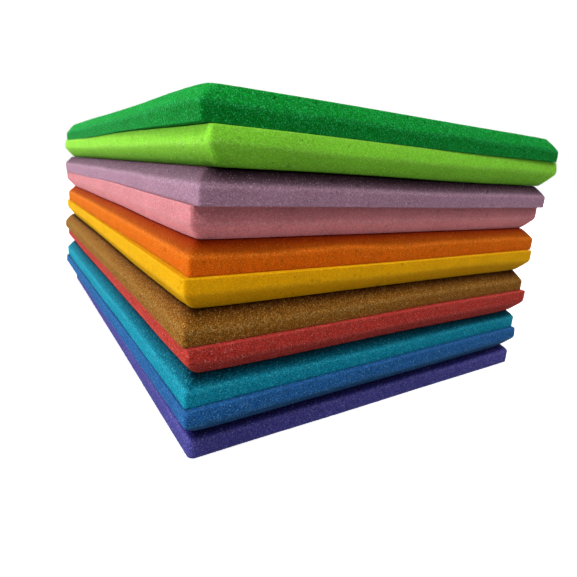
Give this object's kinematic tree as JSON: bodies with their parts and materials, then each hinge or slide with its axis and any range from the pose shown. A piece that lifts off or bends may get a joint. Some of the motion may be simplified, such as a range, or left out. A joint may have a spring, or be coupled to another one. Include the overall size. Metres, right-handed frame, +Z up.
{
  "type": "foam sheet stack",
  "caption": "Neat stack of thick rectangular craft foam sheets in different colours, with edges that roll inwards on one side, each sheet loose and free to lift off.",
  "frame": {"origin": "centre of the bottom sheet's underside", "axes": "+X along the short side of the sheets, +Y along the long side, +Z up through the stack"},
  "size_m": [0.3687, 0.5115, 0.223],
  "materials": {
    "violet_foam": "matt open-cell foam",
    "blue_foam": "matt open-cell foam",
    "teal_foam": "matt open-cell foam",
    "red_foam": "matt open-cell foam",
    "brown_foam": "matt open-cell foam",
    "yellow_foam": "matt open-cell foam",
    "orange_foam": "matt open-cell foam",
    "pink_foam": "matt open-cell foam",
    "lilac_foam": "matt open-cell foam",
    "lime_foam": "matt open-cell foam",
    "green_foam": "matt open-cell foam"
  },
  "bodies": {
    "violet_sheet": {"violet_sheet": "violet_foam"},
    "blue_sheet": {"blue_sheet": "blue_foam"},
    "teal_sheet": {"teal_sheet": "teal_foam"},
    "red_sheet": {"red_sheet": "red_foam"},
    "brown_sheet": {"brown_sheet": "brown_foam"},
    "yellow_sheet": {"yellow_sheet": "yellow_foam"},
    "orange_sheet": {"orange_sheet": "orange_foam"},
    "pink_sheet": {"pink_sheet": "pink_foam"},
    "lilac_sheet": {"lilac_sheet": "lilac_foam"},
    "lime_sheet": {"lime_sheet": "lime_foam"},
    "green_sheet": {"green_sheet": "green_foam"}
  },
  "joints": [
    {"name": "blue_lift", "type": "slide", "parent": "violet_sheet", "child": "blue_sheet", "axis": [0, 0, 1], "range_m": [0, 0.06]},
    {"name": "teal_lift", "type": "slide", "parent": "blue_sheet", "child": "teal_sheet", "axis": [0, 0, 1], "range_m": [0, 0.06]},
    {"name": "red_lift", "type": "slide", "parent": "teal_sheet", "child": "red_sheet", "axis": [0, 0, 1], "range_m": [0, 0.06]},
    {"name": "brown_lift", "type": "slide", "parent": "red_sheet", "child": "brown_sheet", "axis": [0, 0, 1], "range_m": [0, 0.06]},
    {"name": "yellow_lift", "type": "slide", "parent": "brown_sheet", "child": "yellow_sheet", "axis": [0, 0, 1], "range_m": [0, 0.06]},
    {"name": "orange_lift", "type": "slide", "parent": "yellow_sheet", "child": "orange_sheet", "axis": [0, 0, 1], "range_m": [0, 0.06]},
    {"name": "pink_lift", "type": "slide", "parent": "orange_sheet", "child": "pink_sheet", "axis": [0, 0, 1], "range_m": [0, 0.06]},
    {"name": "lilac_lift", "type": "slide", "parent": "pink_sheet", "child": "lilac_sheet", "axis": [0, 0, 1], "range_m": [0, 0.06]},
    {"name": "lime_lift", "type": "slide", "parent": "lilac_sheet", "child": "lime_sheet", "axis": [0, 0, 1], "range_m": [0, 0.06]},
    {"name": "green_lift", "type": "slide", "parent": "lime_sheet", "child": "green_sheet", "axis": [0, 0, 1], "range_m": [0, 0.06]}
  ]
}
